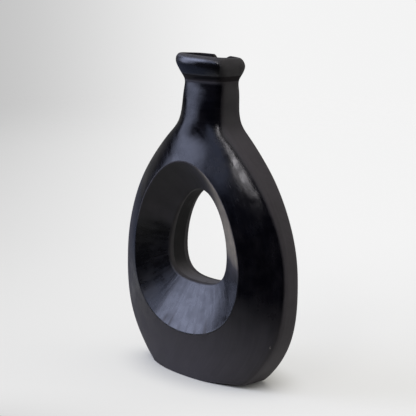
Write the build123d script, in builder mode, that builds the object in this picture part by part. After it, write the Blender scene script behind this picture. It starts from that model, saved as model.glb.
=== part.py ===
"""Flask-shaped black clay pot with an egg-shaped hole through its body.

+Z is up, +X runs across the wide face and the front face looks along -Y.
The origin is the middle of the foot, on the surface that the pot stands on.
All sizes are in millimetres.
"""
from build123d import *
from math import cos, radians, sin, sqrt
import os

# ---- Driving dimensions ----------------------------------------------------
WALL = 6.0                  # clay thickness of the shells, recesses, tunnel and neck
FLOOR = 8.0                 # thickness of the foot slab
NECK_FOOT = 237.0           # where the neck is luted to the shoulder
NECK_TOP = 279.0            # underside of the rolled lip
REACH = 60.0                # half depth of every cutting body, past the deepest face

# Wide outline, foot to crown: the crown is where it would close if there were no neck
FOOT_HALF_WIDTH = 60.5
BELLY_HALF_WIDTH = 109.0
BELLY_HEIGHT = 99.0         # where the body is widest
CROWN_HEIGHT = 258.0
FOOT_POWER = 2.65           # how late the outline turns in: 2 is a parabola, more is later
CROWN_POWER = 2.2
NECK_HALF_WIDTH = 26.2

# Deep outline: the same, seen from the side
FOOT_HALF_DEPTH = 28.0
BELLY_HALF_DEPTH = 46.0
DEEPEST_HEIGHT = 125.0      # where the faces bulge most
DEEP_CROWN_HEIGHT = 265.0
DEEP_CROWN_POWER = 2.3
NECK_FOOT_HALF_DEPTH = 24.5
NECK_TOP_HALF_DEPTH = 16.6
NECK_TAPER_START = 225.0    # the neck's faces draw in from here to its top

# Flat side band, as half its depth: narrow at the belly, broad at the foot and the neck
BAND_HALF_DEPTH = 8.0
BAND_FOOT_GAIN = 7.8
BAND_NECK_GAIN = 4.5
BAND_WAIST_HEIGHT = 123.0
BAND_NECK_HEIGHT = 248.0

# Hand-built neck and rolled lip
WIDTH_MELT = 9.0            # how softly shoulder and neck melt together, from the front
DEPTH_MELT = 3.0            # and from the side
NECK_LEAN = 2.0             # the neck leans this far to +X
LIP_LEAN = -0.5             # and the lip comes back to here
LIP_TOP = 301.5             # height of the middle of the lip's top
COIL_HEIGHT = 294.0         # middle of the rolled coil, whose section is an ellipse
COIL_OFFSET = 0.9           # that middle, out from the neck's outline
COIL_HALF_THICKNESS = 4.4
COIL_HALF_HEIGHT = 8.0
COIL_DEPTH_GAIN = 1.7       # the coil stands out this much more at the front and back
MOUTH_FLARE = 2.0           # the mouth opens by this much from neck to lip top
FOOT_CORNER_RADIUS = 4.0
CORNER_RADIUS = 6.5         # where a face meets the side band
CORNER_HEIGHT = 15.0        # the foot's sharper corners reach up to here

# Levels of the loft's sections, closer where the outline bends
BODY_LEVELS = (0, 5, 15, 30, 51, 75, 99, 123, 147, 171, 195, 213, 228, 240, 255, 270, NECK_TOP)
LIP_LEVELS = (NECK_TOP, 284, 289, COIL_HEIGHT, 299, LIP_TOP)
LIP_SLOPE_X = 0.04          # the lip's top falls this much per millimetre towards +X
LIP_SLOPE_Y = 0.05          # and this much towards the back
INNER_RADIUS = 3.0          # corner radius of the hollow
DOME_POWER = 2.3            # how the faces fall away: 2 is a parabola, more is flatter
DOME_POINTS = 9             # points that carry one domed face

# Egg-shaped outlines: the point at a turn from the top is at
# x = middle_x + half_width sin(turn)
# z = middle_z + half_height cos(turn) + point cos(2 turn)
RIM_EGG = (0.0, 117.0, 71.4, 80.5, 7.7)         # crisp outer edge of the recess
MOUTH_EGG = (-2.0, 124.3, 39.5, 44.4, 8.4)      # where the recess meets the tunnel
EGG_POINTS = 24             # points that carry one outline
RIM_DEPTH = 32.6            # from the middle plane to the plane of the recess rim
TUNNEL_HALF = 10.5          # half length of the tunnel
SEAM_MARGIN = 4.0           # band of face round the rim that belongs to the recess ring

# Shallow notch in the rear lip: steep on its -X side, sloping out towards +X
NOTCH_LEFT = -14.0
NOTCH_FLOOR_LENGTH = 13.0
NOTCH_RUN_OUT = 7.0
NOTCH_DEPTH = 3.5

os.makedirs("parts", exist_ok=True)


# ---- Outlines from the foot up ---------------------------------------------
def ease(low, high, value):
    """Rises smoothly from 0 at low to 1 at high."""
    share = min(1.0, max(0.0, (value - low) / (high - low)))
    return sin(radians(90 * share)) ** 2


def melted(first, second, softness):
    """The larger of two sizes, rounded where they are nearly the same."""
    return (first + second + sqrt((first - second) ** 2 + softness ** 2)) / 2


def dome(size, start, end, power, height):
    """A size that falls from its full value at start to nothing at end."""
    return size * (1 - ((height - start) / (end - start)) ** power)


def half_width(height):
    if height < BELLY_HEIGHT:
        share = (1 - height / BELLY_HEIGHT) ** FOOT_POWER
        body = BELLY_HALF_WIDTH - (BELLY_HALF_WIDTH - FOOT_HALF_WIDTH) * share
    else:
        body = dome(BELLY_HALF_WIDTH, BELLY_HEIGHT, CROWN_HEIGHT, CROWN_POWER, height)
    return melted(body, NECK_HALF_WIDTH, WIDTH_MELT)


def half_depth(height):
    if height < DEEPEST_HEIGHT:
        swell = (BELLY_HALF_DEPTH - FOOT_HALF_DEPTH) * ease(0, DEEPEST_HEIGHT, height)
        body = FOOT_HALF_DEPTH + swell
    else:
        body = dome(BELLY_HALF_DEPTH, DEEPEST_HEIGHT, DEEP_CROWN_HEIGHT, DEEP_CROWN_POWER, height)
    taper = (NECK_FOOT_HALF_DEPTH - NECK_TOP_HALF_DEPTH) * ease(NECK_TAPER_START, NECK_TOP, height)
    return melted(body, NECK_FOOT_HALF_DEPTH - taper, DEPTH_MELT)


def band_half_depth(height):
    if height < BAND_WAIST_HEIGHT:
        return BAND_HALF_DEPTH + BAND_FOOT_GAIN * (1 - height / BAND_WAIST_HEIGHT) ** 2
    share = (height - BAND_WAIST_HEIGHT) / (BAND_NECK_HEIGHT - BAND_WAIST_HEIGHT)
    return BAND_HALF_DEPTH + BAND_NECK_GAIN * sin(radians(90 * share)) ** 2


def body_row(height, growth=0.0, depth_gain=0.0):
    """One section of the outside, made bigger all round by growth: height, half width,
    half depth in the middle, half depth at the side band, corner radius, sideways lean."""
    base = min(height, NECK_TOP)
    corner = (CORNER_RADIUS - FOOT_CORNER_RADIUS) * ease(0, CORNER_HEIGHT, height)
    lean = NECK_LEAN * ease(NECK_FOOT, NECK_TOP, height)
    lean += (LIP_LEAN - NECK_LEAN) * ease(NECK_TOP, LIP_TOP, height)
    return (
        height,
        half_width(base) + growth,
        half_depth(base) + growth + depth_gain,
        band_half_depth(base) + growth,
        FOOT_CORNER_RADIUS + corner,
        lean,
    )


def lip_row(height):
    """One section of the rolled lip: an elliptic coil that grows out of the neck's top."""
    if height < COIL_HEIGHT:
        growth = (COIL_OFFSET + COIL_HALF_THICKNESS) * ease(NECK_TOP, COIL_HEIGHT, height)
    else:
        rise = (height - COIL_HEIGHT) / COIL_HALF_HEIGHT
        growth = COIL_OFFSET + COIL_HALF_THICKNESS * sqrt(1 - rise * rise)
    return body_row(height, growth, COIL_DEPTH_GAIN * ease(NECK_TOP, COIL_HEIGHT, height))


# ---- Section shapes --------------------------------------------------------
def flask_section(height, width, depth, edge, radius, lean):
    """Domed front and back faces joined by flat side bands; level up to the neck's top.
    All sizes are halves, measured from the middle of the section."""
    steps = [2 * i / (DOME_POINTS - 1) - 1 for i in range(DOME_POINTS)]
    face = [
        (width * u, depth - (depth - edge) * abs(u) ** DOME_POWER)
        for u in steps
    ]
    tilt = max(0.0, (height - NECK_TOP) / (LIP_TOP - NECK_TOP))
    slope_x = tilt * LIP_SLOPE_X
    slope_y = tilt * LIP_SLOPE_Y
    plane = Plane(origin=(lean, 0, height), x_dir=(1, 0, -slope_x), z_dir=(slope_x, slope_y, 1))
    with BuildSketch(plane) as section:
        with BuildLine():
            Spline(*face)
            Line((width, edge), (width, -edge))
            Spline(*[(-x, -y) for x, y in face])
            Line((-width, -edge), (-width, edge))
        make_face()
        fillet(section.vertices(), radius)
    return section.sketch


def hollow_section(height, width, depth, edge, radius, lean):
    """Inside of the clay wall at the same level."""
    return flask_section(
        height, width - WALL, depth - WALL, edge - WALL / 2, INNER_RADIUS, lean
    )


def recess_egg(depth):
    """The recess's egg at a distance from the middle plane: it widens evenly outwards."""
    share = (depth - TUNNEL_HALF) / (RIM_DEPTH - TUNNEL_HALF)
    return tuple(mouth + share * (rim - mouth) for mouth, rim in zip(MOUTH_EGG, RIM_EGG))


def egg_sketch(egg, depth, grow=0.0):
    """Egg outline on the upright plane at y = -depth, made bigger all round by grow."""
    middle_x, middle_z, half_width, half_height, point = egg
    turns = [radians(360 * i / EGG_POINTS) for i in range(EGG_POINTS)]
    outline = [
        (
            middle_x + (half_width + grow) * sin(turn),
            middle_z + (half_height + grow) * cos(turn) + point * cos(2 * turn),
        )
        for turn in turns
    ]
    with BuildSketch(Plane.XZ.offset(depth)) as sketch:
        with BuildLine():
            Spline(*outline, periodic=True)
        make_face()
    return sketch.sketch


# ---- The whole clay body, before it is parted into its members --------------
with BuildPart() as outside:
    loft(sections=[flask_section(*body_row(level)) for level in BODY_LEVELS])

hollow_levels = [FLOOR] + [level for level in BODY_LEVELS if level > FLOOR]
with BuildPart() as hollow_blank:
    loft(sections=[hollow_section(*body_row(level)) for level in hollow_levels])

# Air of the front recess, and the same cone moved in so that it leaves the wall
flare = (RIM_EGG[2] - MOUTH_EGG[2]) / (RIM_DEPTH - TUNNEL_HALF)
setback = WALL * sqrt(1 + flare * flare) / flare
with BuildPart() as front_air:
    loft(
        sections=[
            egg_sketch(MOUTH_EGG, TUNNEL_HALF),
            egg_sketch(recess_egg(REACH), REACH),
        ],
        ruled=True,
    )

with BuildPart() as front_skin:
    loft(
        sections=[
            egg_sketch(MOUTH_EGG, TUNNEL_HALF - setback),
            egg_sketch(recess_egg(REACH), REACH - setback),
        ],
        ruled=True,
    )

with BuildPart() as tunnel_air:
    with BuildSketch(Plane.XZ):
        add(egg_sketch(MOUTH_EGG, 0.0).face())
    extrude(amount=TUNNEL_HALF, both=True)

with BuildPart() as tunnel_skin:
    with BuildSketch(Plane.XZ):
        add(egg_sketch(MOUTH_EGG, 0.0, grow=WALL).face())
    extrude(amount=TUNNEL_HALF, both=True)

back_air = front_air.part.mirror(Plane.XZ)
back_skin = front_skin.part.mirror(Plane.XZ)

with BuildPart() as hollow:
    add(hollow_blank.part)
    add(front_skin.part, mode=Mode.SUBTRACT)
    add(back_skin, mode=Mode.SUBTRACT)
    add(tunnel_skin.part, mode=Mode.SUBTRACT)

with BuildPart() as clay:
    add(outside.part)
    add(hollow.part, mode=Mode.SUBTRACT)
    add(front_air.part, mode=Mode.SUBTRACT)
    add(back_air, mode=Mode.SUBTRACT)
    add(tunnel_air.part, mode=Mode.SUBTRACT)

# Upright prism round the recess rim, which parts the recess rings from the shells
with BuildPart() as ring_prism:
    with BuildSketch(Plane.XZ):
        add(egg_sketch(RIM_EGG, 0.0, grow=SEAM_MARGIN).face())
    extrude(amount=REACH, both=True)

FLOOR_PLANE = Plane.XY.offset(FLOOR)
NECK_FOOT_PLANE = Plane.XY.offset(NECK_FOOT)
TUNNEL_FRONT = Plane.XZ.offset(TUNNEL_HALF)
TUNNEL_BACK = Plane.XZ.offset(-TUNNEL_HALF)


# ---- Foot ------------------------------------------------------------------
with BuildPart() as base_slab:
    add(clay.part)
    split(bisect_by=FLOOR_PLANE, keep=Keep.BOTTOM)
base_slab.part.label = "base_slab"
export_step(base_slab.part, "parts/base_slab.step")

# ---- Front and back shells, luted to each other along the side bands --------
with BuildPart() as front_shell:
    add(clay.part)
    add(ring_prism.part, mode=Mode.SUBTRACT)
    split(bisect_by=FLOOR_PLANE, keep=Keep.TOP)
    split(bisect_by=NECK_FOOT_PLANE, keep=Keep.BOTTOM)
    split(bisect_by=Plane.XZ, keep=Keep.TOP)
front_shell.part.label = "front_shell"
export_step(front_shell.part, "parts/front_shell.step")

with BuildPart() as back_shell:
    add(clay.part)
    add(ring_prism.part, mode=Mode.SUBTRACT)
    split(bisect_by=FLOOR_PLANE, keep=Keep.TOP)
    split(bisect_by=NECK_FOOT_PLANE, keep=Keep.BOTTOM)
    split(bisect_by=Plane.XZ, keep=Keep.BOTTOM)
back_shell.part.label = "back_shell"
export_step(back_shell.part, "parts/back_shell.step")

# ---- Dished recess rings ---------------------------------------------------
with BuildPart() as front_recess:
    add(clay.part)
    add(ring_prism.part, mode=Mode.INTERSECT)
    split(bisect_by=TUNNEL_FRONT, keep=Keep.TOP)
front_recess.part.label = "front_recess"
export_step(front_recess.part, "parts/front_recess.step")

with BuildPart() as back_recess:
    add(clay.part)
    add(ring_prism.part, mode=Mode.INTERSECT)
    split(bisect_by=TUNNEL_BACK, keep=Keep.BOTTOM)
back_recess.part.label = "back_recess"
export_step(back_recess.part, "parts/back_recess.step")

# ---- Tunnel through the body -----------------------------------------------
with BuildPart() as tunnel_wall:
    add(clay.part)
    add(ring_prism.part, mode=Mode.INTERSECT)
    split(bisect_by=TUNNEL_FRONT, keep=Keep.BOTTOM)
    split(bisect_by=TUNNEL_BACK, keep=Keep.TOP)
tunnel_wall.part.label = "tunnel_wall"
export_step(tunnel_wall.part, "parts/tunnel_wall.step")

# ---- Neck ------------------------------------------------------------------
with BuildPart() as neck:
    add(clay.part)
    split(bisect_by=NECK_FOOT_PLANE, keep=Keep.TOP)
neck.part.label = "neck"
export_step(neck.part, "parts/neck.step")

# ---- Rolled lip ------------------------------------------------------------
with BuildPart() as mouth_lip:
    loft(sections=[flask_section(*lip_row(level)) for level in LIP_LEVELS])
    # The hollow keeps one wall's thickness inside the neck's outline and flares to the top
    loft(
        sections=[
            hollow_section(*body_row(NECK_TOP)),
            hollow_section(*body_row(LIP_TOP, MOUTH_FLARE)),
        ],
        mode=Mode.SUBTRACT,
    )
    with BuildSketch(Plane.XZ):
        with BuildLine():
            Polyline(
                (NOTCH_LEFT, LIP_TOP + NOTCH_DEPTH),
                (NOTCH_LEFT, LIP_TOP - NOTCH_DEPTH),
                (NOTCH_LEFT + NOTCH_FLOOR_LENGTH, LIP_TOP - NOTCH_DEPTH),
                (NOTCH_LEFT + NOTCH_FLOOR_LENGTH + NOTCH_RUN_OUT, LIP_TOP + NOTCH_DEPTH),
                close=True,
            )
        make_face()
    extrude(amount=-REACH, mode=Mode.SUBTRACT)
mouth_lip.part.label = "mouth_lip"
export_step(mouth_lip.part, "parts/mouth_lip.step")
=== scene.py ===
"""Looks of the black clay flask: thick-walled burnished clay members on a pale studio floor.

Sizes of the pieces are millimetres; meshes are written in metres, in the frame of the CAD part:
+Z up, +X across the wide face, the front face looks along -Y, the foot stands on z = 0.
"""
import bpy
import math
import numpy as np
from mathutils import Matrix, Vector


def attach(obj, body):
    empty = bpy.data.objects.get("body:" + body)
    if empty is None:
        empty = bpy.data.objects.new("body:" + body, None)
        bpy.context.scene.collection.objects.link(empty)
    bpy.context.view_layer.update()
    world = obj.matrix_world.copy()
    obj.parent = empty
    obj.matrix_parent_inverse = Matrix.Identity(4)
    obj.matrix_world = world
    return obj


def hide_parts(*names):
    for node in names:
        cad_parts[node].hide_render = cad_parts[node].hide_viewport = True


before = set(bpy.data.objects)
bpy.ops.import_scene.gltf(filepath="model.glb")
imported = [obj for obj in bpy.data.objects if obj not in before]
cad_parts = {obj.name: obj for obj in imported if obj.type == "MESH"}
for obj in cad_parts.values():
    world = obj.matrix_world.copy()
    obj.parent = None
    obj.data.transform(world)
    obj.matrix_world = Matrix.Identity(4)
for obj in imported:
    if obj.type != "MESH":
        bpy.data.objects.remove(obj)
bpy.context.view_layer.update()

MM = 0.001

# ---- Driving dimensions of the body, as in the CAD part ----
WALL = 6.0
FLOOR = 8.0
NECK_FOOT = 237.0
NECK_TOP = 279.0
DOME_POWER = 2.3

# Wide outline: the crown is where it would close without a neck
FOOT_HALF_WIDTH = 60.5
BELLY_HALF_WIDTH = 109.0
BELLY_HEIGHT = 99.0
CROWN_HEIGHT = 258.0
FOOT_POWER = 2.65
CROWN_POWER = 2.2
NECK_HALF_WIDTH = 26.2
# Deep outline: the same from the side
FOOT_HALF_DEPTH = 28.0
BELLY_HALF_DEPTH = 46.0
DEEPEST_HEIGHT = 125.0
DEEP_CROWN_HEIGHT = 265.0
DEEP_CROWN_POWER = 2.3
NECK_FOOT_HALF_DEPTH = 24.5
NECK_TOP_HALF_DEPTH = 16.6
NECK_TAPER_START = 225.0
WIDTH_MELT = 9.0            # how softly shoulder and neck melt together
DEPTH_MELT = 3.0
NECK_LEAN = 2.0
LIP_LEAN = -0.5
# Side band, before its corners are rubbed round: deeper than the CAD's by what rubbing takes
BAND_HALF_DEPTH = 11.5
BAND_FOOT_GAIN = 5.7
BAND_NECK_GAIN = 3.9
BAND_NECK_LOSS = 1.4        # the band narrows again towards the neck's top
BAND_WAIST_HEIGHT = 123.0
BAND_NECK_HEIGHT = 240.0
FOOT_CORNER_RADIUS = 4.6
CORNER_RADIUS = 6.5
CORNER_HEIGHT = 30.0
# Rolled lip: an elliptic coil, then down into the mouth
COIL_HEIGHT = 294.0
COIL_OFFSET = 0.9           # middle of the coil, out from the neck's outline
COIL_HALF_THICKNESS = 4.4
COIL_HALF_HEIGHT = 7.4
COIL_DEPTH_GAIN = 1.7       # the coil stands out this much more at the front and back
COIL_TURNS = (0, 40, 68, 95, 125, 160)      # degrees up from the coil's outermost point
# Under the coil the outline swells out of the neck: height, shares of the coil's swell and of
# its depth gain. Below the coil's inside it runs down the mouth: height, growth, depth share.
UNDER_COIL = ((284.0, 0.38, 0.4), (289.0, 0.78, 0.8))
MOUTH_INSIDE = ((289.0, -4.4, 0.3), (NECK_TOP, -5.8, 0.0))
LIP_CORNER_GAIN = 0.3       # the corners grow rounder by this share of the growth
LIP_TOP = 301.5
LIP_SLOPE_X = 0.04          # the lip's top falls this much per millimetre towards +X
LIP_SLOPE_Y = 0.05          # and this much towards the back
LIP_SLOPE_REACH = 24.0      # the slope grows in over this length of the outline, from the neck
# Shallow notch in the rear lip: steep on its -X side, sloping out towards +X
NOTCH_LEFT = -14.0
NOTCH_FLOOR_LENGTH = 13.0
NOTCH_RUN_OUT = 9.0
NOTCH_DEPTH = 3.4
NOTCH_EDGE = 1.2            # rounding of the notch's steep side
NOTCH_REAR = (6.0, 10.0)    # it fades in between these distances behind the middle
NOTCH_SQUASH = 1.5          # all that stood over the notch's floor is pressed into this much under it

# Egg outlines: middle x, middle z, half width, half height, and the point's reach at the top
RIM_EGG = (0.0, 117.0, 71.4, 80.5, 7.7)
MOUTH_EGG = (-2.2, 124.3, 39.5, 44.4, 8.4)
MOUTH_DEPTH = 10.4          # from the middle plane to the mouth of the tunnel
MOUTH_SIDE_DEPTH = 1.3      # the mouth's left and right lie this much nearer the face
MOUTH_TOP_DEPTH = -1.2      # and its top this much, its bottom the opposite
SEAM_MARGIN = 4.0
DISH_SAG = 1.0              # hollowness of the recess between mouth and rim

AROUND = 480                # points round every closed outline
SOFTNESS = 2.2              # how far the corners of a section are rubbed round


# ---- Curves ----
def smooth_step(low, high, value):
    share = np.clip((value - low) / (high - low), 0, 1)
    return share * share * (3 - 2 * share)


def natural_spline(knots, values):
    """Twice-smooth curve through rows of values at rising knots."""
    n = len(knots)
    gap = np.diff(knots)
    slope = np.diff(values, axis=0) / gap[:, None]
    matrix = np.zeros((n, n))
    right = np.zeros_like(values)
    matrix[0, 0] = matrix[-1, -1] = 1.0
    for i in range(1, n - 1):
        matrix[i, i - 1] = gap[i - 1]
        matrix[i, i] = 2 * (gap[i - 1] + gap[i])
        matrix[i, i + 1] = gap[i]
        right[i] = 6 * (slope[i] - slope[i - 1])
    bend = np.linalg.solve(matrix, right)

    def curve(at):
        at = np.asarray(at, float)
        i = np.clip(np.searchsorted(knots, at) - 1, 0, n - 2)
        h = gap[i][..., None]
        after = (knots[i + 1] - at)[..., None]
        before = (at - knots[i])[..., None]
        cubic = bend[i] * after ** 3 + bend[i + 1] * before ** 3
        linear = (values[i] / h - bend[i] * h / 6) * after
        linear = linear + (values[i + 1] / h - bend[i + 1] * h / 6) * before
        return cubic / (6 * h) + linear

    return curve


# ---- Outlines from the foot up ----
def ease(low, high, value):
    """Rises smoothly from 0 at low to 1 at high."""
    share = min(1.0, max(0.0, (value - low) / (high - low)))
    return math.sin(math.radians(90 * share)) ** 2


def melted(first, second, softness):
    """The larger of two sizes, rounded where they are nearly the same."""
    return (first + second + math.sqrt((first - second) ** 2 + softness ** 2)) / 2


def dome(size, start, end, power, height):
    """A size that falls from its full value at start to nothing at end."""
    return size * (1 - ((height - start) / (end - start)) ** power)


def half_width(height):
    if height < BELLY_HEIGHT:
        share = (1 - height / BELLY_HEIGHT) ** FOOT_POWER
        body = BELLY_HALF_WIDTH - (BELLY_HALF_WIDTH - FOOT_HALF_WIDTH) * share
    else:
        body = dome(BELLY_HALF_WIDTH, BELLY_HEIGHT, CROWN_HEIGHT, CROWN_POWER, height)
    return melted(body, NECK_HALF_WIDTH, WIDTH_MELT)


def half_depth(height):
    if height < DEEPEST_HEIGHT:
        swell = (BELLY_HALF_DEPTH - FOOT_HALF_DEPTH) * ease(0, DEEPEST_HEIGHT, height)
        body = FOOT_HALF_DEPTH + swell
    else:
        body = dome(BELLY_HALF_DEPTH, DEEPEST_HEIGHT, DEEP_CROWN_HEIGHT, DEEP_CROWN_POWER, height)
    taper = (NECK_FOOT_HALF_DEPTH - NECK_TOP_HALF_DEPTH) * ease(NECK_TAPER_START, NECK_TOP, height)
    return melted(body, NECK_FOOT_HALF_DEPTH - taper, DEPTH_MELT)


def band_half_depth(height):
    if height < BAND_WAIST_HEIGHT:
        return BAND_HALF_DEPTH + BAND_FOOT_GAIN * (1 - height / BAND_WAIST_HEIGHT) ** 2
    gain = BAND_NECK_GAIN * ease(BAND_WAIST_HEIGHT, BAND_NECK_HEIGHT, height)
    return BAND_HALF_DEPTH + gain - BAND_NECK_LOSS * ease(BAND_NECK_HEIGHT, NECK_TOP, height)


def body_row(height):
    """Height, half width, half depth in the middle, half depth at the side band,
    corner radius and sideways lean of the hand-built neck."""
    corner = (CORNER_RADIUS - FOOT_CORNER_RADIUS) * ease(0, CORNER_HEIGHT, height)
    lean = NECK_LEAN * ease(NECK_FOOT, NECK_TOP, height)
    return (height, half_width(height), half_depth(height), band_half_depth(height),
            FOOT_CORNER_RADIUS + corner, lean)


def lip_row(growth, height, depth_gain):
    """The neck's top section made bigger all round by growth, at a height in the lip."""
    _, width, depth, band, corner, lean = body_row(NECK_TOP)
    lean += (LIP_LEAN - NECK_LEAN) * ease(NECK_TOP, COIL_HEIGHT + COIL_HALF_HEIGHT, height)
    return (height, width + growth, depth + growth + depth_gain, band + growth,
            corner + LIP_CORNER_GAIN * growth, lean)


def coil_rows():
    """Out from the neck's top, round the coil and down to the bottom of the mouth."""
    swell = COIL_OFFSET + COIL_HALF_THICKNESS
    rows = [lip_row(share * swell, height, depth_share * COIL_DEPTH_GAIN)
            for height, share, depth_share in UNDER_COIL]
    for turn in COIL_TURNS:
        growth = COIL_OFFSET + COIL_HALF_THICKNESS * math.cos(math.radians(turn))
        height = COIL_HEIGHT + COIL_HALF_HEIGHT * math.sin(math.radians(turn))
        rows.append(lip_row(growth, height, COIL_DEPTH_GAIN))
    rows += [lip_row(growth, height, depth_share * COIL_DEPTH_GAIN)
             for height, growth, depth_share in MOUTH_INSIDE]
    return rows


# Levels of the body's sections, closer where the outline bends
BODY_LEVELS = (0, 5, 15, 30, 51, 75, 99, 123, 147, 171, 195, 213, 228, 240, 255, 270, NECK_TOP)
PROFILE = np.array([body_row(level) for level in BODY_LEVELS] + coil_rows())
profile_steps = np.linalg.norm(np.diff(PROFILE[:, :3], axis=0), axis=1)
STATIONS = np.concatenate([[0.0], np.cumsum(profile_steps)])
profile_at = natural_spline(STATIONS, PROFILE)
NECK_TOP_ROW = len(BODY_LEVELS) - 1
UNDER_LIP_ROW = NECK_TOP_ROW + 1            # up to here is the lip's dull underside
COIL_TOP_ROW = NECK_TOP_ROW + len(UNDER_COIL) + 4   # from here on is the inside of the mouth
NECK_TOP_STATION = STATIONS[NECK_TOP_ROW]
dense_stations = np.linspace(0.0, NECK_TOP_STATION, 2000)
dense_heights = profile_at(dense_stations)[:, 0]


def station_of(height):
    """Where along the profile the body reaches a height, below the lip."""
    return np.interp(height, dense_heights, dense_stations)


def quarter(v, half_width, middle, edge, radius):
    """A quarter of a section: v = 0 in the middle of the side band, 1 in the middle of the face."""
    core_width = half_width - radius
    core_middle = middle - radius
    core_edge = np.maximum(edge - radius, 0.2)
    fall = np.maximum(core_middle - core_edge, 0.05)
    end_slope = fall * DOME_POWER / core_width
    corner = np.arctan(1.0 / end_slope)
    flat_length = core_edge
    arc_length = radius * corner
    face_length = np.hypot(core_width, fall)
    total = flat_length + arc_length + face_length
    along = v * total

    on_arc = np.clip((along - flat_length) / arc_length, 0, 1)
    angle = on_arc * corner
    arc_x = core_width + radius * np.cos(angle)
    arc_y = core_edge + radius * np.sin(angle)
    arc_y = np.where(along < flat_length, along, arc_y)

    q = np.clip(1 - (along - flat_length - arc_length) / face_length, 0, 1)
    slope = fall * DOME_POWER * q ** (DOME_POWER - 1) / core_width
    lean = 1.0 / np.sqrt(1 + slope * slope)
    face_x = core_width * q + radius * slope * lean
    face_y = core_middle - fall * q ** DOME_POWER + radius * lean
    on_face = along > flat_length + arc_length
    return np.where(on_face, face_x, arc_x), np.where(on_face, face_y, arc_y), total


def section_point(around, half_width, middle, edge, radius):
    """Point of a whole section: 0 is the +X side, 1 the front, 2 the -X side, 3 the back."""
    around = np.mod(around, 4.0)
    fold = np.where(around > 2, 4 - around, around)
    v = np.where(fold > 1, 2 - fold, fold)
    x, y, total = quarter(v, half_width, middle, edge, radius)
    return np.where(fold > 1, -x, x), np.where(around > 2, y, -y), total


# Each point is the weighted mean of its neighbours on the section: corners come out rubbed
TAPS = np.linspace(-2, 2, 9)
TAP_WEIGHTS = np.exp(-0.5 * TAPS ** 2) / np.exp(-0.5 * TAPS ** 2).sum()


def surface(around, station, inset=0.0):
    """The clay surface, its section corners rubbed soft; inset moves it into the wall."""
    around, station = np.broadcast_arrays(np.asarray(around, float), np.asarray(station, float))
    height, half_width, middle, edge, radius, lean = np.moveaxis(profile_at(station), -1, 0)
    half_width = half_width - inset
    middle = middle - inset
    edge = edge - inset * 0.8
    radius = np.maximum(radius - inset * 0.6, 2.0)
    _, _, total = section_point(around, half_width, middle, edge, radius)
    x = np.zeros_like(around)
    y = np.zeros_like(around)
    for tap, weight in zip(TAPS, TAP_WEIGHTS):
        tap_x, tap_y, _ = section_point(
            around + tap * SOFTNESS / total, half_width, middle, edge, radius
        )
        x += weight * tap_x
        y += weight * tap_y
    share = smooth_step(0.0, LIP_SLOPE_REACH, station - NECK_TOP_STATION)
    z = height - share * (LIP_SLOPE_X * x + LIP_SLOPE_Y * y)
    return np.stack([x + lean, y, z], -1)


SHRINK = np.array([0.998, 0.988, 1.0])      # room for the unevenness inside the CAD part's box


def warp(points):
    """The slight unevenness of hand-built clay, as a smooth shift of every point."""
    x, y, z = np.moveaxis(points, -1, 0)
    rise = np.clip(z / 25.0, 0, 1)
    dx = 0.24 * np.sin(z / 31 + 0.8) * np.sin(x / 43 + 1.1) + 0.12 * np.sin(z / 14 + x / 23 + 2.0)
    dy = 0.20 * np.sin(x / 27 + z / 39 + 0.4) + 0.10 * np.sin(x / 13 - z / 17 + 1.3)
    dz = 0.20 * np.sin(x / 35 + 0.5) * np.sin(y / 19 + z / 41)
    return points * SHRINK + np.stack([dx * rise, dy * rise, dz * rise], -1)


def surface_normal(around, station):
    """Outward normal of the uneven clay surface."""
    step_a, step_s = 0.004, 0.5
    along_a = warp(surface(around + step_a, station)) - warp(surface(around - step_a, station))
    along_s = warp(surface(around, station + step_s)) - warp(surface(around, station - step_s))
    normal = np.cross(along_s, along_a)
    return normal / np.linalg.norm(normal, axis=-1, keepdims=True)


# ---- Meshes ----
def closed(rows, turn=0.0):
    """Rows with the first one again at the end, a turn further on."""
    return np.concatenate([rows, rows[:1] + turn], 0)


# A skin is a closed band of points, AROUND rows by some columns. Turned skins have their
# faces wound the other way. Rows of uv are one more than the points', so that strokes
# run on across the last quad.
def skin(points, uv, shine, turned=False, normals=None, ends=(None, None)):
    """Points with their outward normals; ends gives exact normals for the first and last ring."""
    if normals is None:
        padded = np.concatenate([points[-1:], points, points[:1]], 0)
        normals = np.cross(np.gradient(points, axis=1), padded[2:] - padded[:-2])
        normals /= np.maximum(np.linalg.norm(normals, axis=-1, keepdims=True), 1e-12)
        if turned:
            normals = -normals
    if ends[0] is not None:
        normals[:, 0] = ends[0]
    if ends[1] is not None:
        normals[:, -1] = ends[1]
    if uv.shape[0] == AROUND:
        uv = closed(uv)
    return {"points": points, "uv": uv, "shine": shine, "turned": turned, "normals": normals}


def band_quads(columns, turned, wrap=True):
    """Corner numbers of the quads of one skin."""
    i, j = np.meshgrid(np.arange(AROUND), np.arange(columns - 1), indexing="ij")
    after = (i + 1) % AROUND if wrap else i + 1
    quads = np.stack(
        [i * columns + j, i * columns + j + 1, after * columns + j + 1, after * columns + j], -1
    ).reshape(-1, 4)
    return quads[:, ::-1] if turned else quads


def flat_normals(points, faces):
    a, b, c = (points[faces[:, k]] for k in range(3))
    normal = np.cross(b - a, c - a)
    return normal / np.maximum(np.linalg.norm(normal, axis=1, keepdims=True), 1e-12)


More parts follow.
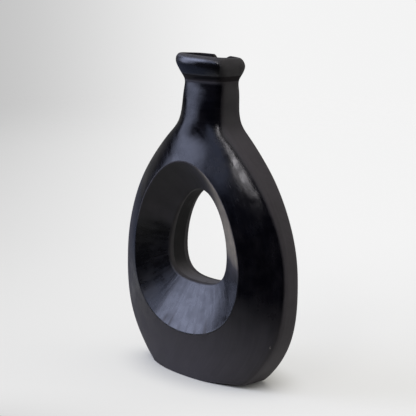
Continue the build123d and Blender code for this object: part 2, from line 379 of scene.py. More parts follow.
def make_piece(name, skins, rings, caps, material, node, border=None):
    """One closed clay piece: skins, walls that join two rings of them, and flat caps.
    A ring is (skin number, column). border is a second material, and which columns of the
    first skin's quads have it."""
    starts = np.cumsum([0] + [part["points"].shape[0] * part["points"].shape[1] for part in skins])
    points = np.concatenate([part["points"].reshape(-1, 3) for part in skins])
    faces, normals, uvs, shines = [], [], [], []
    for start, part in zip(starts, skins):
        columns = part["points"].shape[1]
        quads = band_quads(columns, part["turned"])
        corners = quads.reshape(-1)
        faces += (quads + start).tolist()
        normals.append(part["normals"].reshape(-1, 3)[corners])
        shines.append(part["shine"].reshape(-1)[corners])
        open_corners = band_quads(columns, part["turned"], wrap=False).reshape(-1)
        uvs.append(part["uv"].reshape(-1, 2)[open_corners])

    def ring(place):
        number, column = place
        columns = skins[number]["points"].shape[1]
        return starts[number] + np.arange(AROUND) * columns + column % columns

    for first, second in rings:
        one, other = ring(first), ring(second)
        quads = np.stack([one, np.roll(one, -1), np.roll(other, -1), other], -1)
        faces += quads.tolist()
        normals.append(np.repeat(flat_normals(points, quads), 4, axis=0))
        uvs.append(np.zeros((4 * AROUND, 2)))
        shines.append(np.zeros(4 * AROUND))
    for place, down in caps:
        loop = ring(place)
        if not down:
            loop = loop[::-1]
        faces.append(loop.tolist())
        normals.append(np.tile([0.0, 0.0, -1.0 if down else 1.0], (AROUND, 1)))
        uvs.append(np.zeros((AROUND, 2)))
        shines.append(np.zeros(AROUND))

    mesh = bpy.data.meshes.new(name)
    mesh.from_pydata((points * MM).tolist(), [], faces)
    strokes = mesh.uv_layers.new(name="strokes")
    strokes.data.foreach_set("uv", np.concatenate(uvs).astype(np.float32).ravel())
    shine = mesh.attributes.new("shine", "FLOAT", "CORNER")
    shine.data.foreach_set("value", np.concatenate(shines).astype(np.float32))
    mesh.shade_smooth()
    mesh.normals_split_custom_set(np.concatenate(normals).tolist())
    mesh.materials.append(material)
    if border:
        mesh.materials.append(border[0])
        columns = skins[0]["points"].shape[1] - 1
        index = np.zeros(len(mesh.polygons), np.int32)
        index[:AROUND * columns] = np.tile(border[1], AROUND)
        mesh.polygons.foreach_set("material_index", index)
    piece = bpy.data.objects.new(name, mesh)
    bpy.context.scene.collection.objects.link(piece)
    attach(piece, "root")
    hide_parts(node)
    return piece


def walls(turned):
    """The rings that close a piece of two skins, at their first and their last column."""
    one, other = (1, 0) if turned else (0, 1)
    return [((one, 0), (other, 0)), ((other, -1), (one, -1))]


def egg(shape, turns, grow=0.0):
    """Points x, z of an egg outline; a turn of 0 is its top, a quarter turn its +X side."""
    middle_x, middle_z, half_width, half_height, point = shape
    x = middle_x + (half_width + grow) * np.sin(turns)
    z = middle_z + (half_height + grow) * np.cos(turns) + point * np.cos(2 * turns)
    return x, z


BISECTIONS = 26             # halvings in the search for a place on the face


def front_place(x, z):
    """Around and station of the point of the front face at x, z."""
    station = station_of(z)
    low = np.zeros_like(x)
    high = np.full_like(x, 2.0)
    for _ in range(BISECTIONS):
        middle = (low + high) / 2
        right_of_it = surface(middle, station)[..., 0] > x
        low = np.where(right_of_it, middle, low)
        high = np.where(right_of_it, high, middle)
    return (low + high) / 2, station


def rounded_corner(before, corner, after, reach, count):
    """Points of a small curve that rubs a corner round, reaching the same way along both sides."""
    one = before - corner
    other = after - corner
    start = corner + one / np.linalg.norm(one, axis=-1, keepdims=True) * reach
    end = corner + other / np.linalg.norm(other, axis=-1, keepdims=True) * reach
    share = np.linspace(0, 1, count)[None, :, None]
    start, middle, end = start[:, None], corner[:, None], end[:, None]
    return (1 - share) ** 2 * start + 2 * share * (1 - share) * middle + share ** 2 * end


def toward(start, end, count, skip_last=True):
    """Evenly spaced points from one ring to another."""
    share = np.linspace(0, 1, count + 1)[None, :, None]
    points = start[:, None] * (1 - share) + end[:, None] * share
    return points[:, :-1] if skip_last else points


turns = 2 * np.pi * np.arange(AROUND) / AROUND
around_all = 4.0 * np.arange(AROUND) / AROUND


def rim_place(grow, back=False):
    """Around and station of the rim's egg, made bigger by grow, on the front or the back face."""
    around, station = front_place(*egg(RIM_EGG, turns, grow))
    return (4.0 - around if back else around), station


def mirrored(points, back):
    """Front points, or their mirror image on the back."""
    return points * np.array([1.0, -1.0, 1.0]) if back else points


def body_shine(normal, points):
    """Where the stone has rubbed the outside: the faces, hardly the side bands and the foot. Low on
    the body and on the side bands the value also drops below zero, which paints the clay lighter:
    painted light from the floor.
    """
    x, y, z = np.moveaxis(points, -1, 0)
    band = 1 - smooth_step(0.40, 0.72, np.abs(normal[..., 1]))
    band = band * (1 - 0.55 * smooth_step(225.0, 250.0, z))
    left = 0.9 * smooth_step(0.35, 0.62, -normal[..., 0]) * (1 - smooth_step(130.0, 190.0, z))
    low = 1 - smooth_step(20.0, 105.0, z)
    # Painted light: low down the clay is left duller, and it and the low side bands are painted
    # lighter still, standing in for light from the floor.
    painted_floor_light = 0.14 * low + 0.33 * band * (1 - smooth_step(90.0, 180.0, z))
    return (1 - band) * (1 - left) * (1 - 0.75 * low) - painted_floor_light


def stroke_uv(around, station):
    """Strokes that run up the body: millimetres across, millimetres along."""
    row = profile_at(station)
    width = row[..., 1] + row[..., 3]
    return np.stack([around * width, station], -1)


def round_grid(low, high, count):
    """Around, station and strokes of all points of a stretch of the body, between two stations."""
    around, station = np.meshgrid(around_all, np.linspace(low, high, count), indexing="ij")
    return around, station, stroke_uv(closed(around, 4.0), closed(station))[..., ::-1]


# ---- Front and back shells, from the recess out to the side bands ----
TOP_COUNT, BOTTOM_COUNT = 60, 120       # outline points along the neck seam and the foot seam
SIDE_COUNT = (AROUND - TOP_COUNT - BOTTOM_COUNT) // 2
SHELL_COLUMNS = 84


def shell_border():
    """Around and station of the shell's outer edge, one point for each turn of the egg."""
    low, high = station_of(FLOOR), station_of(NECK_FOOT)
    half_top = TOP_COUNT // 2
    top_right = np.linspace(1, 0, half_top + 1)[:-1]
    side_right = np.linspace(high, low, SIDE_COUNT + 1)[:-1]
    bottom = np.linspace(0, 2, BOTTOM_COUNT + 1)[:-1]
    side_left = np.linspace(low, high, SIDE_COUNT + 1)[:-1]
    top_left = np.linspace(2, 1, half_top + 1)[:-1]
    around = np.concatenate([
        top_right, np.zeros(SIDE_COUNT), bottom, np.full(SIDE_COUNT, 2.0), top_left
    ])
    station = np.concatenate([
        np.full(half_top, high), side_right, np.full(BOTTOM_COUNT, low), side_left,
        np.full(half_top, high),
    ])
    return around, station


def make_shell(name, node, back, material):
    seam_around, seam_station = rim_place(SEAM_MARGIN)
    edge_around, edge_station = shell_border()
    share = np.linspace(0, 1, SHELL_COLUMNS)[None, :]
    around = seam_around[:, None] * (1 - share) + edge_around[:, None] * share
    station = seam_station[:, None] * (1 - share) + edge_station[:, None] * share
    if back:
        around = 4.0 - around
    points = warp(surface(around, station))
    normals = surface_normal(around, station)
    uv = stroke_uv(around, station)
    outer = skin(points, uv, body_shine(normals, points), not back, normals)
    inside = warp(surface(around, station, inset=WALL))
    inner = skin(inside, uv, np.zeros(around.shape), back)
    make_piece(name, [outer, inner], walls(not back), [], material, node)


# ---- Recess rings: tunnel end, mouth, dish, rim and margin ----
TUNNEL_LAP = 7.0            # the tunnel's own wall ends here, each way from the middle
MOUTH_ROUNDING = 1.5
RIM_ROUNDING = 0.8
LAP_COLUMNS = 5             # columns of points along the tunnel's end, each rounding, the dish
ROUNDING_COLUMNS = 7
DISH_COLUMNS = 44
MARGIN_COLUMNS = 7          # and the margin of the face
BEHIND_DISH = 1.15          # the wall measured along Y behind the slanted dish, in wall thicknesses
LAP_SLANT = 0.5             # the hidden side of the tunnel's end spreads over this much along Y
DISH_STROKE_RADIUS = 62.0   # strokes of the dish and the tunnel are measured at these radii
TUNNEL_STROKE_RADIUS = 42.0
TUNNEL_COLUMNS = 15


def mouth_ring():
    """The edge where the dish turns into the tunnel, front side, before warping."""
    x, z = egg(MOUTH_EGG, turns)
    across = (x - MOUTH_EGG[0]) / MOUTH_EGG[2]
    up = (z - MOUTH_EGG[1]) / MOUTH_EGG[3]
    depth = MOUTH_DEPTH + MOUTH_SIDE_DEPTH * across ** 2 + MOUTH_TOP_DEPTH * up
    return np.stack([x, -depth, z], -1)


def face_ring(grow):
    return surface(*rim_place(grow))


def make_recess(name, node, back, material, face_material):
    mouth = mouth_ring()
    rim = face_ring(0.0)
    lap = mouth * np.array([1.0, 0.0, 1.0]) - np.array([0.0, TUNNEL_LAP, 0.0])
    slope = rim - mouth
    inward = np.cross(slope, np.roll(mouth, -1, 0) - np.roll(mouth, 1, 0))
    inward /= np.linalg.norm(inward, axis=1, keepdims=True)
    inward *= np.sign(inward[:, 1:2])
    mouth_curve = rounded_corner(lap, mouth, rim, MOUTH_ROUNDING, ROUNDING_COLUMNS)
    rim_curve = rounded_corner(mouth, rim, face_ring(RIM_ROUNDING), RIM_ROUNDING, ROUNDING_COLUMNS)
    dish = toward(mouth_curve[:, -1], rim_curve[:, 0], DISH_COLUMNS, skip_last=False)[:, 1:-1]
    share = np.linspace(0, 1, DISH_COLUMNS + 1)[1:-1]
    dish = dish + (4 * DISH_SAG * share * (1 - share))[None, :, None] * inward[:, None]
    margin_grows = np.linspace(RIM_ROUNDING, SEAM_MARGIN, MARGIN_COLUMNS + 1)[1:]
    margin = np.stack([face_ring(grow) for grow in margin_grows], 1)
    parts = [toward(lap, mouth_curve[:, 0], LAP_COLUMNS), mouth_curve, dish, rim_curve, margin]
    points = np.concatenate(parts, 1)

    tunnel_columns = LAP_COLUMNS + ROUNDING_COLUMNS
    behind_mouth_x, behind_mouth_z = egg(MOUTH_EGG, turns, WALL)
    behind = points + np.array([0.0, WALL * BEHIND_DISH, 0.0])
    behind[:, :tunnel_columns, 0] = behind_mouth_x[:, None]
    behind[:, :tunnel_columns, 2] = behind_mouth_z[:, None]
    behind[:, :tunnel_columns, 1] = np.linspace(-TUNNEL_LAP, -TUNNEL_LAP - LAP_SLANT, tunnel_columns)
    behind[:, -MARGIN_COLUMNS:] = points[:, -MARGIN_COLUMNS:] + np.array([0.0, WALL, 0.0])

    seam_normal = surface_normal(*rim_place(SEAM_MARGIN, back))
    lap_normal = mirrored(egg_inward(), back)
    points = warp(mirrored(points, back))
    behind = warp(mirrored(behind, back))
    columns = points.shape[1]
    along = np.linalg.norm(np.diff(points, axis=1), axis=-1).cumsum(1)
    along = np.concatenate([np.zeros((AROUND, 1)), along], 1)
    along = closed(along)
    across = np.arange(AROUND + 1)[:, None] * (2 * np.pi / AROUND) * DISH_STROKE_RADIUS
    uv = np.stack([np.broadcast_to(across, along.shape), along], -1)
    for column, grow in enumerate(margin_grows):
        uv[:, column - MARGIN_COLUMNS] = closed(stroke_uv(*rim_place(grow, back)))
    shine = dish_shine(points, np.linspace(0, 1, columns)[None, :])
    rubbed_edge = tunnel_columns + 1
    shine[:, :rubbed_edge] *= np.clip(np.linspace(-2.0, 1.0, rubbed_edge), 0, 1)
    shine[:, -MARGIN_COLUMNS:] = body_shine(seam_normal, points[:, -1])[:, None]
    outer = skin(points, uv, shine, not back, ends=(lap_normal, seam_normal))
    inner = skin(behind, uv, np.zeros(shine.shape), back)
    make_piece(name, [outer, inner], walls(not back), [], material, node,
               (face_material, np.arange(columns - 1) >= columns - MARGIN_COLUMNS - 2))


def egg_inward():
    """Normals of the tunnel's wall, which look at its axis."""
    x, z = egg(MOUTH_EGG, turns)
    dx = np.roll(x, -1) - np.roll(x, 1)
    dz = np.roll(z, -1) - np.roll(z, 1)
    normal = np.stack([dz, np.zeros(AROUND), -dx], -1)
    return normal / np.linalg.norm(normal, axis=1, keepdims=True)


def dish_shine(points, share):
    """The dish is rubbed in its lower part, higher up on the left, and left dull above; below zero it
    is painted light brown, a painted highlight where its right side faces the light. Share runs from
    the tunnel to the face."""
    x, y, z = np.moveaxis(points, -1, 0)
    border = 127.0 - 18.0 * np.clip(x / 55.0, -1, 1)
    rubbed = 0.98 * (1 - smooth_step(-11.0, 11.0, z - border))
    turn = turns[:, None]
    skips = 0.5 * np.sin(37 * turn + 1.0) + 0.35 * np.sin(23 * turn + 2.3)
    skips += 0.3 * np.sin(59 * turn + 0.5)
    ragged_share = share + 0.12 * np.sin(17 * turn)
    missed = smooth_step(0.05, 0.75, skips) * smooth_step(0.55, 0.92, ragged_share)
    missed = missed * smooth_step(-48.0, -28.0, x) * (1 - smooth_step(30.0, 48.0, x))
    missed = missed * (1 - smooth_step(60.0, 80.0, z))
    # Painted highlight: near the mouth the dish's right side, which faces the light, is painted light
    # brown; the back dish gets less of it.
    painted_lighter = smooth_step(10.0, 40.0, x) * smooth_step(0.0, 20.0, z - border)
    painted_lighter *= np.where(y < 0, 1.0, 0.3)
    return rubbed * (1 - 0.85 * missed) - painted_lighter


# ---- Tunnel ----
def make_tunnel(name, node, material):
    x, z = egg(MOUTH_EGG, turns)
    depths = np.linspace(-TUNNEL_LAP, TUNNEL_LAP, TUNNEL_COLUMNS)
    points = np.stack(np.broadcast_arrays(x[:, None], depths, z[:, None]), -1)
    behind_x, behind_z = egg(MOUTH_EGG, turns, WALL)
    behind = points.copy()
    behind[..., 0] = behind_x[:, None]
    behind[..., 2] = behind_z[:, None]
    across = np.arange(AROUND + 1)[:, None] * (2 * np.pi / AROUND) * TUNNEL_STROKE_RADIUS
    uv = np.stack(np.broadcast_arrays(depths, across), -1)
    normals = np.repeat(egg_inward()[:, None], TUNNEL_COLUMNS, axis=1)
    zero = np.zeros(points.shape[:2])
    # Painted light: the tunnel's bottom, which faces up, is painted lighter.
    painted_tunnel_light = smooth_step(0.2, 1.0, -np.cos(turns))[:, None]
    outer = skin(warp(points), uv, zero - painted_tunnel_light, False, normals)
    inner = skin(warp(behind), uv, zero, True)
    make_piece(name, [outer, inner], walls(False), [], material, node)


# ---- Neck ----
def make_neck(name, node, material):
    around, station, uv = round_grid(station_of(NECK_FOOT), NECK_TOP_STATION, 46)
    normals = surface_normal(around, station)
    points = warp(surface(around, station))
    shine = body_shine(normals, points) * (1 - smooth_step(275.5, 279.0, points[..., 2]))
    outer = skin(points, uv, shine, False, normals)
    inner = skin(warp(surface(around, station, inset=WALL)), uv, np.zeros(around.shape), True)
    make_piece(name, [outer, inner], walls(False), [], material, node)


# ---- Rolled lip with its notch ----
def notch(points):
    """Lowers the top of the rear lip along the notch."""
    x, y, z = np.moveaxis(points, -1, 0)
    top = LIP_TOP - LIP_SLOPE_X * x - LIP_SLOPE_Y * y
    right = NOTCH_LEFT + NOTCH_FLOOR_LENGTH
    depth = NOTCH_DEPTH * smooth_step(NOTCH_LEFT, NOTCH_LEFT + NOTCH_EDGE, x)
    depth = depth * (1 - smooth_step(right, right + NOTCH_RUN_OUT, x))
    depth = depth * smooth_step(*NOTCH_REAR, y)
    start = top - depth - NOTCH_SQUASH
    sunk = np.where(z > start, start + (z - start) * NOTCH_SQUASH / (NOTCH_SQUASH + depth), z)
    return np.stack([x, y, np.minimum(z, sunk)], -1)


def make_lip(name, node, material, under_material):
    around, station, uv = round_grid(NECK_TOP_STATION, STATIONS[-1], 110)
    points = notch(warp(surface(around, station)))
    first = surface_normal(around[:, 0], station[:, 0])
    outer = skin(points, uv, np.zeros(around.shape), False, ends=(first, None))
    x, y, z = np.moveaxis(points, -1, 0)
    normal = outer["normals"]
    rubbed = smooth_step(282.8, 286.0, z) * (1 - smooth_step(0.30, 0.60, normal[..., 2]))
    # Painted shade: a burnished dark line just under the coil, in the crease where the neck meets the
    # lip.
    painted_crease_shade = np.exp(-((z - 281.6 - 0.02 * x) / 1.1) ** 2) * smooth_step(-12.0, 0.0, x) * (y < 0)
    # Painted shade: inside the mouth the shine is full, which gives the clay its darkest colour.
    inside = smooth_step(STATIONS[COIL_TOP_ROW], STATIONS[COIL_TOP_ROW + 1], station)
    face = smooth_step(0.50, 0.78, np.abs(normal[..., 1]))
    shine = np.maximum(rubbed, 0.9 * painted_crease_shade) * face
    # Painted light: where the lip faces up it is left dull and painted lighter, as its top catches
    # the light.
    painted_top_light = 0.7 * smooth_step(0.60, 0.92, normal[..., 2]) * (1 - inside)
    outer["shine"] = np.maximum(shine - painted_top_light, inside)
    under = station[0, 1:] < STATIONS[UNDER_LIP_ROW]
    in_mouth = station[0, :-1] > STATIONS[COIL_TOP_ROW]
    make_piece(name, [outer], [((0, 0), (0, -1))], [], material, node,
               (under_material, under | in_mouth))


# ---- Foot slab ----
FOOT_LIFT = 3.0             # the foot's +X end stands this far off the floor
FOOT_LIFT_REACH = (18.0, 58.0)              # and rises between these distances from the middle
FOOT_EDGE_INSET = 0.8       # the lower edge stands back this far
FOOT_EDGE_HEIGHT = 0.6      # and is rubbed round up to here


def foot_lift(x):
    """The foot's +X end doesn't quite touch the floor."""
    return FOOT_LIFT * smooth_step(*FOOT_LIFT_REACH, x)


def make_foot(name, node, material):
    inner_shares = np.linspace(0.03, 1.0, 12)[:-1]
    low = surface(around_all, 0.0, inset=FOOT_EDGE_INSET)
    low[:, 2] = foot_lift(low[:, 0])
    rise = low[:, 2] + FOOT_EDGE_HEIGHT
    bottom = surface(around_all, station_of(rise))
    rounded = [low + (bottom - low) * np.array([math.sin(t), math.sin(t), 1 - math.cos(t)])
               for t in np.linspace(0, math.pi / 2, 5)]
    band_stations = np.linspace(station_of(rise + 0.4), np.full(AROUND, station_of(FLOOR)), 10)
    band = [surface(around_all, s) for s in band_stations]
    top = band[-1]
    under = [low * np.array([share, share, 0.0]) for share in inner_shares]
    for ring in under:
        ring[:, 2] = foot_lift(ring[:, 0])
    over = [top * np.array([share, share, 1.0]) for share in inner_shares[::-1]]
    points = warp(np.stack(under + rounded + band + over, 1))
    points[..., 2] = np.clip(points[..., 2], 0.0, None)
    stations = np.zeros(points.shape[:2])
    around = np.broadcast_to(around_all[:, None], stations.shape)
    uv = stroke_uv(closed(around, 4.0), closed(stations))
    columns = len(under) + len(rounded)
    normals = skin(points, uv, stations)["normals"]
    exact = surface_normal(around_all[:, None], band_stations.T)
    normals[:, columns:columns + len(band)] = exact
    normals[:, columns + len(band):] = np.array([0.0, 0.0, 1.0])
    shine = body_shine(normals, points)
    outer = skin(points, uv, shine, False, normals)
    make_piece(name, [outer], [], [((0, 0), True), ((0, -1), False)], material,
               node)


# ---- Shader nodes ----
NUMBER_RESULTS = ("DOT_PRODUCT", "LENGTH", "DISTANCE")


class Graph:
    """A node tree with short calls. A value is a constant or the output of another node."""

    def __init__(self, owner):
        owner.use_nodes = True
        self.nodes = owner.node_tree.nodes
        self.links = owner.node_tree.links

    def put(self, value, socket):
        if isinstance(value, bpy.types.NodeSocket):
            self.links.new(value, socket)
        else:
            socket.default_value = value

    def node(self, kind, inputs=None, **settings):
        """A new node; inputs gives values by the names or numbers of its sockets."""
        node = self.nodes.new("ShaderNode" + kind)
        for name, value in settings.items():
            setattr(node, name, value)
        for socket, value in (inputs or {}).items():
            self.put(value, node.inputs[socket])
        return node

    def ranged(self, value, start, end, low, high, smooth=False):
        """Low where value is start, high where it is end, and held beyond both."""
        limits = {"Value": value, "From Min": start, "From Max": end, "To Min": low, "To Max": high}
        kind = "SMOOTHSTEP" if smooth else "LINEAR"
        return self.node("MapRange", limits, interpolation_type=kind).outputs["Result"]

    def maths(self, kind, one, other):
        return self.node("Math", {0: one, 1: other}, operation=kind).outputs["Value"]

    def vector(self, kind, *values):
        node = self.node("VectorMath", dict(enumerate(values)), operation=kind)
        return node.outputs["Value" if kind in NUMBER_RESULTS else "Vector"]

    def mixed(self, share, one, other, blend="MIX"):
        """Two colours mixed: one where share is 0, other where it is 1."""
        node = self.node("Mix", {0: share}, data_type="RGBA", blend_type=blend)
        self.put(one, node.inputs[6])
        self.put(other, node.inputs[7])
        return node.outputs[2]


# ---- Materials ----
NOISE_LOW, NOISE_HIGH = 0.3, 0.7            # nearly all of a noise texture lies between these
CLOUD_SCALE, GRAIN_SCALE, CHIP_SCALE = 72.0, 900.0, 1400.0
CLOUD_DEPTH, GRAIN_DEPTH = 0.00014, 0.00002
CLOUD_RUB = 0.09            # clouds shift the border of the rubbed areas by this much shine
STROKE_TONE = 0.14          # strokes lighten and darken the clay by this share
STROKE_ROUGHNESS, CLOUD_ROUGHNESS, FACET_ROUGHNESS = 0.05, 0.10, 0.04
SMOOTHEST = 0.09
CHIP_EDGE = (0.0006, 0.0011)                # radii between which a chip's edge fades
CHIP_RAGGED = 0.0009
CHIP_COLOUR = (0.16, 0.145, 0.13, 1.0)


def clay_material(name, deep, dull, specular, roughness, stroke, facet,
                  chip=None, painted_lighter=None, patch=None, mottle=0.2):
    """Black clay: the shine attribute says where it is burnished.

    deep and dull are its colours rubbed and unrubbed, roughness the same pair. stroke and facet
    are (scale, stretch, depth) of the fine marks along the strokes and of the broad shallow ones.
    chip is a place where the skin has been knocked off. Where shine is below zero the clay takes a
    lighter colour: painted light.
    patch is (scale, stretch, reach) of areas that were rubbed less, and mottle is how far the
    clouds lighten and darken the clay.
    """
    material = bpy.data.materials.new(name)
    graph = Graph(material)
    shader = graph.nodes["Principled BSDF"]
    shine = graph.node("Attribute", attribute_name="shine").outputs["Fac"]
    flat = graph.node("UVMap", uv_map="strokes").outputs["UV"]
    spot = graph.node("TexCoord").outputs["Object"]

    def noise(vector, scale, detail, coarseness=0.5):
        inputs = {"Vector": vector, "Scale": scale, "Detail": detail, "Roughness": coarseness}
        return graph.node("TexNoise", inputs).outputs["Fac"]

    def stroke_noise(scale, stretch, detail, coarseness=0.5):
        """Noise drawn out along the strokes."""
        drawn = graph.node("Mapping", {"Vector": flat, "Scale": (scale, scale / stretch, 1.0)})
        return noise(drawn.outputs["Vector"], 1.0, detail, coarseness)

    def spread(marks, low, high):
        return graph.ranged(marks, NOISE_LOW, NOISE_HIGH, low, high)

    stroke_scale, stroke_stretch, stroke_depth = stroke
    facet_scale, facet_stretch, facet_depth = facet
    strokes = stroke_noise(stroke_scale, stroke_stretch, 4.0, 0.55)
    if facet_stretch:
        facets = stroke_noise(facet_scale, facet_stretch, 1.2)
    else:
        facets = noise(spot, facet_scale, 1.2)
    clouds = noise(spot, CLOUD_SCALE, 5.0, 0.62)
    grain = noise(spot, GRAIN_SCALE, 3.0)

    polished = shine
    if patch:
        patch_scale, patch_stretch, reach = patch
        patches = stroke_noise(patch_scale, patch_stretch, 2.0)
        polished = graph.maths("ADD", shine, graph.ranged(patches, 0.25, 0.70, -reach, reach / 3))
    rubbed = graph.maths("ADD", polished, spread(clouds, -CLOUD_RUB, CLOUD_RUB))
    colour = graph.mixed(rubbed, (*dull, 1.0), (*deep, 1.0))
    # Painted light: where shine is below zero the clay is painted lighter.
    if painted_lighter:
        colour = graph.mixed(graph.ranged(shine, -1.0, 0.0, 1.0, 0.0), colour, (*painted_lighter, 1.0))
    tone = graph.maths("ADD", spread(clouds, 1.0 - mottle, 1.0 + mottle),
                       spread(strokes, -STROKE_TONE, STROKE_TONE))
    shade = graph.node("CombineColor", {"Red": tone, "Green": tone, "Blue": tone})
    colour = graph.mixed(1.0, colour, shade.outputs["Color"], "MULTIPLY")
    rough = graph.ranged(polished, 0.0, 1.0, roughness[1], roughness[0])
    for marks, reach in ((strokes, STROKE_ROUGHNESS), (clouds, CLOUD_ROUGHNESS),
                         (facets, FACET_ROUGHNESS)):
        rough = graph.maths("ADD", rough, spread(marks, -reach, reach))
    rough = graph.maths("MAXIMUM", rough, SMOOTHEST)
    if chip:
        gap = graph.vector("DISTANCE", spot, [c * MM for c in chip])
        shift = spread(noise(spot, CHIP_SCALE, 2.0), -CHIP_RAGGED, CHIP_RAGGED)
        knocked = graph.ranged(graph.maths("ADD", gap, shift), *CHIP_EDGE, 1.0, 0.0)
        colour = graph.mixed(knocked, colour, CHIP_COLOUR)

    normal = None
    for height, depth in ((facets, facet_depth), (strokes, stroke_depth),
                          (clouds, CLOUD_DEPTH), (grain, GRAIN_DEPTH)):
        bump = graph.node("Bump", {"Distance": depth, "Height": height})
        if normal:
            graph.put(normal, bump.inputs["Normal"])
        normal = bump.outputs["Normal"]
    for name, value in (("Base Color", colour), ("Roughness", rough), ("Normal", normal),
                        ("Specular IOR Level", specular)):
        graph.put(value, shader.inputs[name])
    return material


DEEP = (0.0012, 0.0012, 0.0027)
# Each clay's lighter colour below zero shine is painted light: floor light low on the body, light on
# the lip's top, a highlight by the dish's mouth, light on the tunnel's bottom.
burnished = clay_material(
    "burnished_black_clay", DEEP, dull=(0.038, 0.0345, 0.0368), specular=0.22,
    roughness=(0.18, 0.74), stroke=(0.40, 20.0, 0.00003), facet=(42.0, None, 0.0006),
    chip=(96.3, -13.6, 46.0), patch=(0.10, 2.0, 0.12), painted_lighter=(0.070, 0.064, 0.068),
)
lip_clay = clay_material(
    "lip_black_clay", DEEP, dull=(0.013, 0.0118, 0.0125), specular=0.70,
    roughness=(0.24, 0.80), stroke=(0.40, 20.0, 0.000025), facet=(60.0, None, 0.0004),
    painted_lighter=(0.105, 0.096, 0.086),
)
under_clay = clay_material(
    "under_lip_clay", DEEP, dull=(0.021, 0.0190, 0.0200), specular=0.06,
    roughness=(0.60, 0.90), stroke=(0.40, 20.0, 0.000025), facet=(60.0, None, 0.0004),
)
recess = clay_material(
    "recess_black_clay", (0.0013, 0.0014, 0.0028), dull=(0.023, 0.0205, 0.0215), specular=0.44,
    roughness=(0.25, 0.66), stroke=(0.35, 16.0, 0.00003), facet=(0.085, 4.0, 0.00035),
    painted_lighter=(0.175, 0.150, 0.112), patch=(0.085, 2.2, 0.26), mottle=0.42,
)
raw = clay_material(
    "raw_smoked_clay", (0.02, 0.02, 0.02), dull=(0.012, 0.0115, 0.0115), specular=0.3,
    roughness=(0.6, 0.85), stroke=(0.8, 12.0, 0.00025), facet=(70.0, None, 0.0004),
    painted_lighter=(0.085, 0.081, 0.080),
)

make_foot("foot_slab", "base_slab", burnished)
make_shell("front_shell_clay", "front_shell", False, burnished)
make_shell("back_shell_clay", "back_shell", True, burnished)
make_recess("front_recess_dish", "front_recess", False, recess, burnished)
make_recess("back_recess_dish", "back_recess", True, recess, burnished)
make_tunnel("tunnel_wall_clay", "tunnel_wall", raw)
make_neck("neck_clay", "neck", burnished)
make_lip("rolled_lip", "mouth_lip", lip_clay, under_clay)


# ---- Floor, light and camera: metres, degrees and shares of full brightness ----
CAMERA_AZIMUTH = 46.72
CAMERA_DISTANCE = 1.2035    # from the pot's axis
CAMERA_HEIGHT = 0.3804
CAMERA_TILT, CAMERA_PAN, CAMERA_ROLL = 0.182356, 0.000542, 0.0101695    # radians
LENS, SENSOR = 112.79423, 36.0              # millimetres
YAW = math.radians(CAMERA_AZIMUTH)
RIGHT = Vector((math.cos(YAW), math.sin(YAW), 0.0))
FORWARD = Vector((-math.sin(YAW), math.cos(YAW), 0.0))
PAPER_DARK, PAPER_PALE, PAPER_PLAIN = 0.53, 0.90, 0.81  # far left, far right, in front
FLOOR_PAPER = ((-0.80, 0.14), (-0.30, 0.70))    # where the paper changes, across and along
BACKDROP_PAPER = ((-0.20, 0.035), (-0.5, 0.5))  # the same, by the direction of sight
FLOOR_SIDES = 96
FLOOR_RADIUS, FLOOR_SHIFT = 1.58, 1.30  # the paper lies mostly behind the object
FLOOR_FADE = 1.36                       # from this radius on it melts into the backdrop
FLOOR_FAR = (1.45, 2.86)                # and behind the object already between these distances
FLOOR_GLOW = 0.70                       # the share of its brightness it gives off itself, with no lamp under it: painted light
GLOW_REACH = (0.03, 0.072)              # this share grows from nothing between these distances,
FOOT_SQUASH = (0.6, 1.0, 1.0)           # measured with the foot squashed to a round one
# In reflections the paper is dimmer: colours at the left and at the right, and where they change
PAPER_MIRRORED = ((0.14, 0.17, 0.27, 1.0), (0.75, 0.75, 0.76, 1.0))
MIRRORED_CHANGE = (-0.36, -0.12)


def paper_fade(graph, vector, across_range, along_range):
    """Pale paper, behind the object a little darker toward the left of the studio: painted shade, on
    the floor and on the backdrop the camera sees.
    """
    across = graph.vector("DOT_PRODUCT", vector, RIGHT)
    along = graph.vector("DOT_PRODUCT", vector, FORWARD)
    behind = graph.ranged(along, *along_range, 0.0, 1.0, smooth=True)
    tone = graph.ranged(across, *across_range, PAPER_DARK, PAPER_PALE, smooth=True)
    return graph.node("Mix", {0: behind, 2: PAPER_PLAIN, 3: tone}).outputs[0]


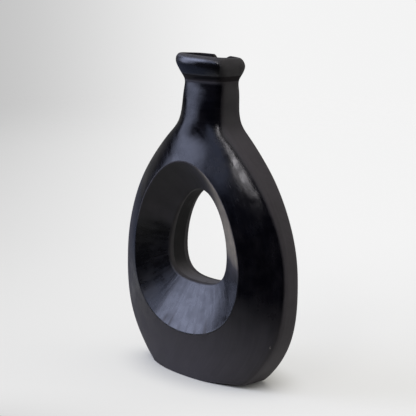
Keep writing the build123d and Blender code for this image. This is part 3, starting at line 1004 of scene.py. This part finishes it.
def paper_material():
    material = bpy.data.materials.new("pale_paper")
    graph = Graph(material)
    shader = graph.nodes["Principled BSDF"]
    spot = graph.node("TexCoord").outputs["Object"]

    # Painted light: away from the foot the paper glows by itself, which lifts the shadows on it.
    near = graph.vector("LENGTH", graph.vector("MULTIPLY", spot, FOOT_SQUASH))
    glow = graph.ranged(near, *GLOW_REACH, 0.0, FLOOR_GLOW, smooth=True)
    rest = graph.ranged(near, *GLOW_REACH, 1.0, 1.0 - FLOOR_GLOW, smooth=True)

    across = graph.vector("DOT_PRODUCT", spot, RIGHT)
    change = graph.ranged(across, *MIRRORED_CHANGE, 0.0, 1.0, smooth=True)
    glossy = graph.node("LightPath").outputs["Is Glossy Ray"]
    seen = graph.mixed(glossy, (1.0, 1.0, 1.0, 1.0), graph.mixed(change, *PAPER_MIRRORED))
    fade = graph.vector("MULTIPLY", paper_fade(graph, spot, *FLOOR_PAPER), seen)
    lit = graph.vector("MULTIPLY", graph.vector("MULTIPLY", fade, 1.0 / light_on_paper()), rest)

    reach = graph.vector("DISTANCE", spot, FORWARD * FLOOR_SHIFT)
    edge = graph.ranged(reach, FLOOR_FADE, FLOOR_RADIUS - 0.01, 1.0, 0.0, smooth=True)
    along = graph.vector("DOT_PRODUCT", spot, FORWARD)
    behind = graph.ranged(along, *FLOOR_FAR, 1.0, 0.0, smooth=True)
    values = {
        "Base Color": lit,
        "Emission Color": graph.vector("MULTIPLY", fade, glow),
        "Emission Strength": 1.0,
        "Roughness": 0.8,
        "Specular IOR Level": 0.0,
        "Alpha": graph.maths("MULTIPLY", edge, behind),
    }
    for name, value in values.items():
        graph.put(value, shader.inputs[name])
    return material


def make_floor():
    middle = FORWARD * FLOOR_SHIFT
    steps = [2 * math.pi * i / FLOOR_SIDES for i in range(FLOOR_SIDES)]
    mesh = bpy.data.meshes.new("studio_floor")
    mesh.from_pydata(
        [(middle.x + FLOOR_RADIUS * math.cos(t), middle.y + FLOOR_RADIUS * math.sin(t), 0.0)
         for t in steps],
        [], [list(range(FLOOR_SIDES))],
    )
    mesh.materials.append(paper_material())
    floor = bpy.data.objects.new("studio_floor", mesh)
    bpy.context.scene.collection.objects.link(floor)


# bearing from the camera's side (to the left is negative), elevation, full inside, gone outside
# (degrees), radiance, colour
GLOWS = [
    (-94.0, 30.5, 6.0, 26.5, 5.2, (0.82, 0.90, 1.26)),
    (-107.0, 3.0, 5.0, 19.0, 2.5, (0.82, 0.90, 1.26)),
    (-53.0, 31.0, 3.0, 15.0, 1.7, (0.78, 0.90, 1.35)),
    (-40.0, 46.5, 0.5, 4.5, 13.0, (1.0, 0.97, 1.02)),
    (-32.5, 42.5, 0.5, 3.4, 26.0, (1.0, 0.97, 1.02)),
    (-31.0, 36.0, 0.5, 4.0, 3.5, (1.0, 0.97, 1.02)),
    (-24.0, 37.5, 0.5, 2.8, 42.0, (1.0, 0.97, 1.02)),
    (-23.0, 32.0, 0.5, 2.4, 18.0, (1.0, 0.97, 1.02)),
    (180.0, 8.0, 25.0, 52.0, 0.14, (1.0, 0.98, 0.98)),
    (0.0, 90.0, 15.0, 50.0, 2.4, (1.0, 0.97, 0.98)),
    (85.0, 12.0, 15.0, 45.0, 1.0, (1.0, 0.97, 0.96)),
]
AIR = 0.03                  # what the dark room behind the camera still gives


def direction(bearing, rise):
    """Unit vectors at bearings from +X and rises above the level, in radians."""
    level = np.cos(rise)
    return np.stack([np.cos(bearing) * level, np.sin(bearing) * level, np.sin(rise)], -1)


def glow_axis(bearing, elevation):
    return direction(np.radians(CAMERA_AZIMUTH - 90.0 + bearing), np.radians(elevation))


def light_on_paper():
    """What the glows together cast on level paper, as a share of a white sky's light, by colour."""
    rises, bearings = np.radians(np.arange(0.5, 90)), np.radians(np.arange(0.5, 360))
    rise, around = np.meshgrid(rises, bearings, indexing="ij")
    way = direction(around, rise)
    share = np.sin(rise) * np.cos(rise) * math.radians(1) ** 2 / math.pi
    total = np.full(3, AIR * share.sum())
    for bearing, elevation, inner, outer, radiance, colour in GLOWS:
        near = way @ glow_axis(bearing, elevation)
        fall = smooth_step(math.cos(math.radians(outer)), math.cos(math.radians(inner)), near)
        total += (fall * share).sum() * radiance * np.array(colour)
    return total


def make_world():
    """The glows light the scene; the camera itself sees plain paper instead."""
    world = bpy.data.worlds.new("studio_air")
    graph = Graph(world)
    way = graph.node("TexCoord").outputs["Generated"]
    light = (AIR, AIR, AIR)
    for bearing, elevation, inner, outer, radiance, colour in GLOWS:
        near = graph.vector("DOT_PRODUCT", way, glow_axis(bearing, elevation))
        start, end = math.cos(math.radians(outer)), math.cos(math.radians(inner))
        fall = graph.ranged(near, start, end, 0.0, radiance, smooth=True)
        light = graph.vector("MULTIPLY_ADD", fall, colour, light)
    seen = paper_fade(graph, way, *BACKDROP_PAPER)
    camera_ray = graph.node("LightPath").outputs["Is Camera Ray"]
    shown = graph.node("Mix", data_type="VECTOR")
    for socket, value in ((0, camera_ray), (4, light), (5, seen)):
        graph.put(value, shown.inputs[socket])
    graph.put(shown.outputs[1], graph.nodes["Background"].inputs["Color"])
    bpy.context.scene.world = world
    bpy.context.scene.view_settings.view_transform = "Standard"


def make_camera():
    place = Vector((CAMERA_DISTANCE * math.sin(YAW), -CAMERA_DISTANCE * math.cos(YAW), CAMERA_HEIGHT))
    yaw = YAW + CAMERA_PAN
    level = math.cos(CAMERA_TILT)
    look = Vector((-math.sin(yaw) * level, math.cos(yaw) * level, -math.sin(CAMERA_TILT)))
    level_right = Vector((math.cos(yaw), math.sin(yaw), 0.0))
    level_up = level_right.cross(look)
    right = level_right * math.cos(CAMERA_ROLL) + level_up * math.sin(CAMERA_ROLL)
    up = level_up * math.cos(CAMERA_ROLL) - level_right * math.sin(CAMERA_ROLL)
    camera = bpy.data.objects.new("camera", bpy.data.cameras.new("camera"))
    camera.data.sensor_width = SENSOR
    camera.data.lens = LENS
    camera.data.clip_end = 50.0
    rotation = Matrix((right, up, -look)).transposed().to_4x4()
    camera.matrix_world = Matrix.Translation(place) @ rotation
    bpy.context.scene.collection.objects.link(camera)
    bpy.context.scene.camera = camera


make_floor()
make_world()
make_camera()
